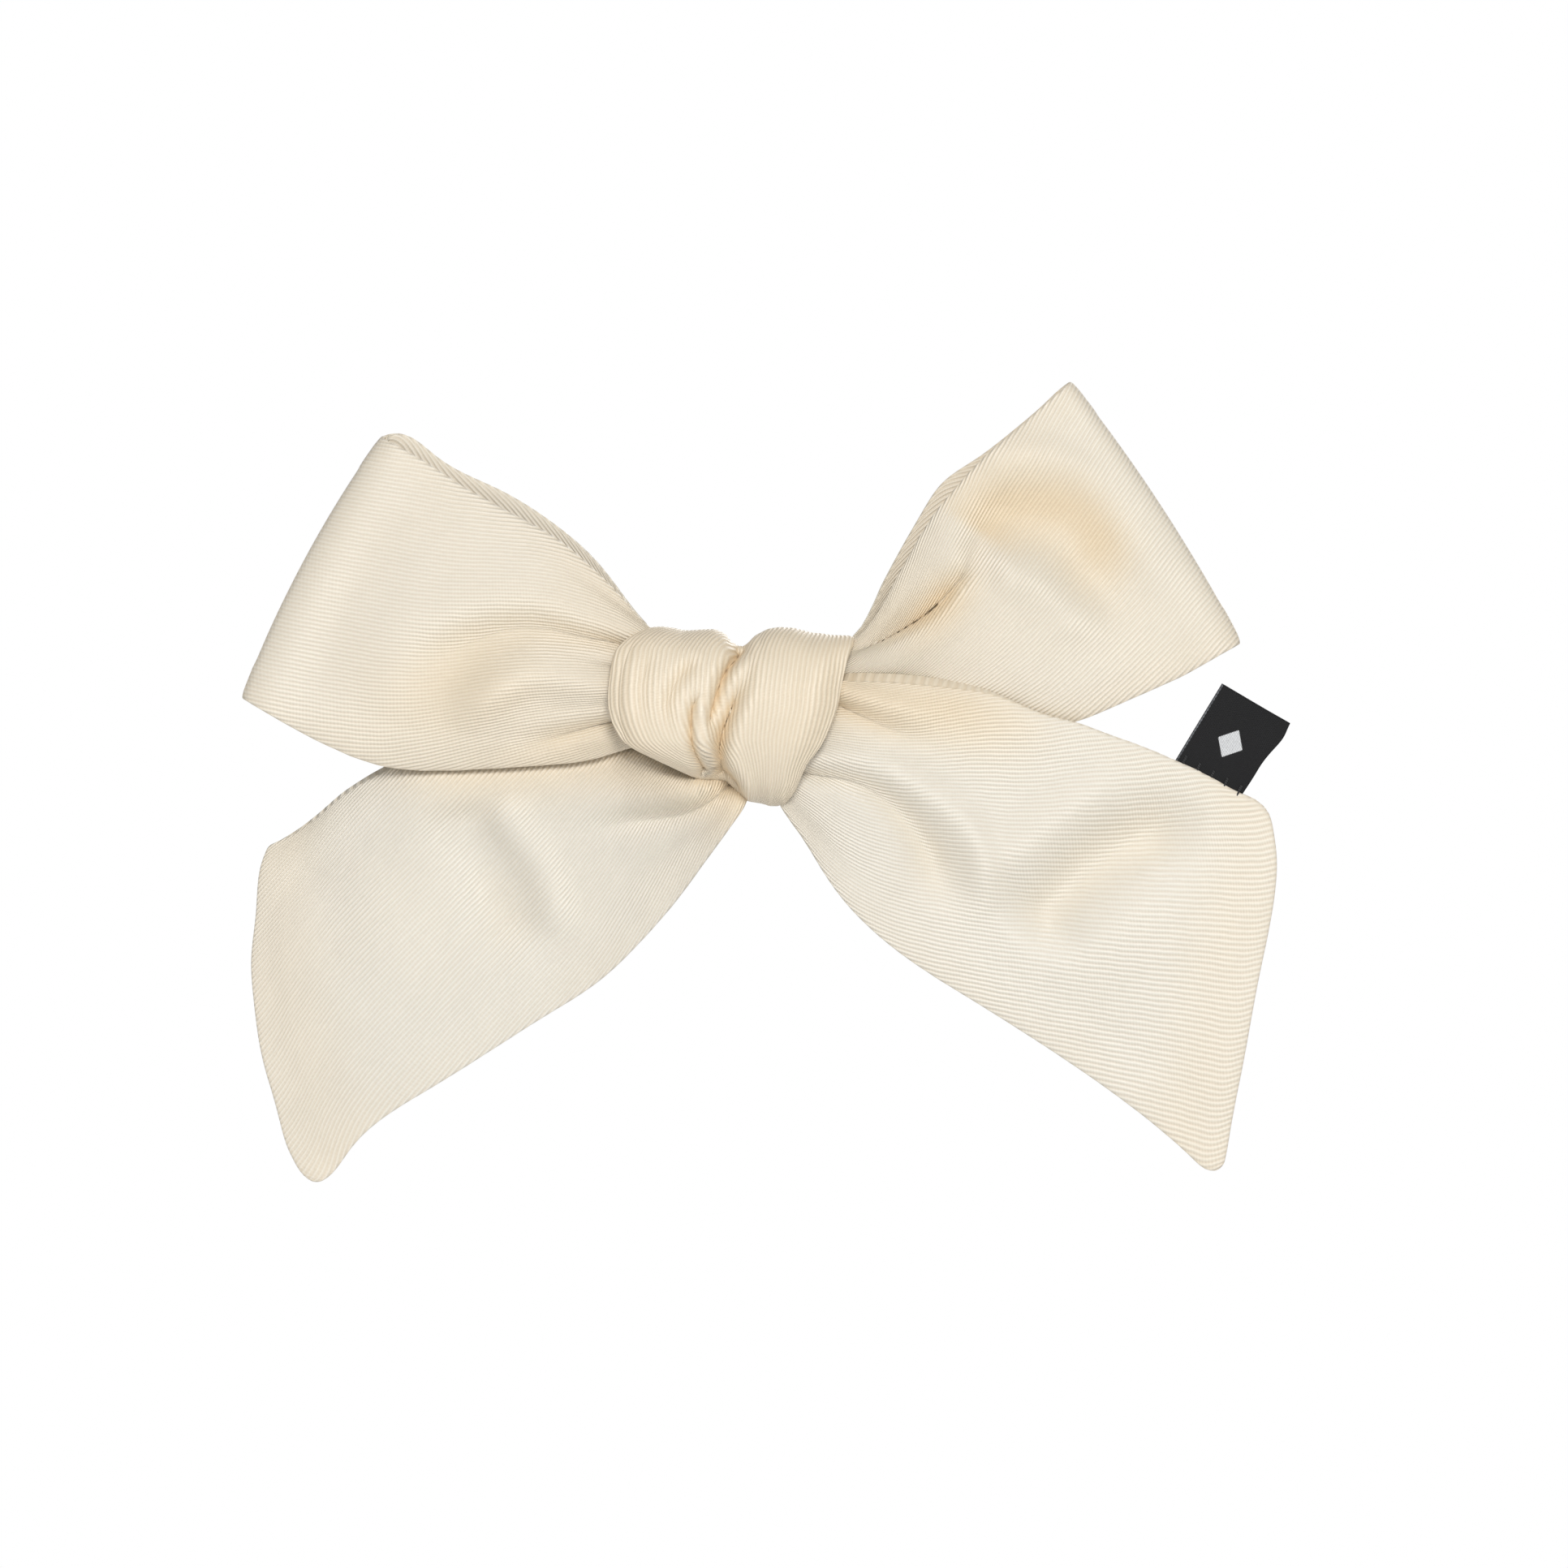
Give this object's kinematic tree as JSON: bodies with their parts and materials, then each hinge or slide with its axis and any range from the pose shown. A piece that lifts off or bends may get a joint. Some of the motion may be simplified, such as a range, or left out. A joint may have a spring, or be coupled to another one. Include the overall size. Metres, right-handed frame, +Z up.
{
  "type": "hair bow",
  "caption": "Tied sash hair bow of two-ply ribbed cloth with a pleated knot, two loops, two tails, a folded side label and a sprung alligator clip behind the knot.",
  "frame": {"origin": "middle of the clip's head-side face, where the closed clip rests against the head", "axes": "+X to the viewer's right along the clip and the bow's width, +Y out of the back towards the head, +Z up; the bow faces -Y"},
  "size_m": [0.1282, 0.023, 0.0987],
  "materials": {
    "sash_cloth": "ribbed twill, soft satin sheen",
    "cream_thread": "twisted polyester thread",
    "black_thread": "twisted polyester thread",
    "label_tape": "woven damask tape",
    "lining_ribbon": "grosgrain ribbon",
    "felt": "pressed wool felt",
    "clip_steel": "nickel plated",
    "pin_steel": "satin",
    "spring_steel": "drawn spring wire"
  },
  "bodies": {
    "clip_base": {"clip_head_jaw": "clip_steel", "hinge_pin": "pin_steel", "torsion_spring": "spring_steel"},
    "bow": {"left_loop_face_ply": "sash_cloth", "left_loop_lining_ply": "sash_cloth", "right_loop_face_ply": "sash_cloth", "right_loop_lining_ply": "sash_cloth", "left_tail_face_ply": "sash_cloth", "left_tail_lining_ply": "sash_cloth", "right_tail_face_ply": "sash_cloth", "right_tail_lining_ply": "sash_cloth", "edge_seam_thread": "cream_thread", "knot_wrap_face_ply": "sash_cloth", "knot_wrap_lining_ply": "sash_cloth", "gathered_core": "sash_cloth", "gathering_thread": "cream_thread", "knot_closing_stitches": "cream_thread", "felt_backing_pad": "felt", "clip_top_arm": "clip_steel", "clip_ribbon_sleeve": "lining_ribbon", "clip_tack_stitches": "cream_thread", "flag_label": "label_tape", "label_stitches": "black_thread"}
  },
  "joints": [
    {"name": "jaw_open", "type": "hinge", "parent": "clip_base", "child": "bow", "pos_m": [0.011, -0.0031, 0], "axis": [0, 0, 1], "range_deg": [0, 30], "stiffness_Nm_per_rad": 0.02, "springref_deg": -68.75, "deforming": ["torsion_spring"]}
  ]
}
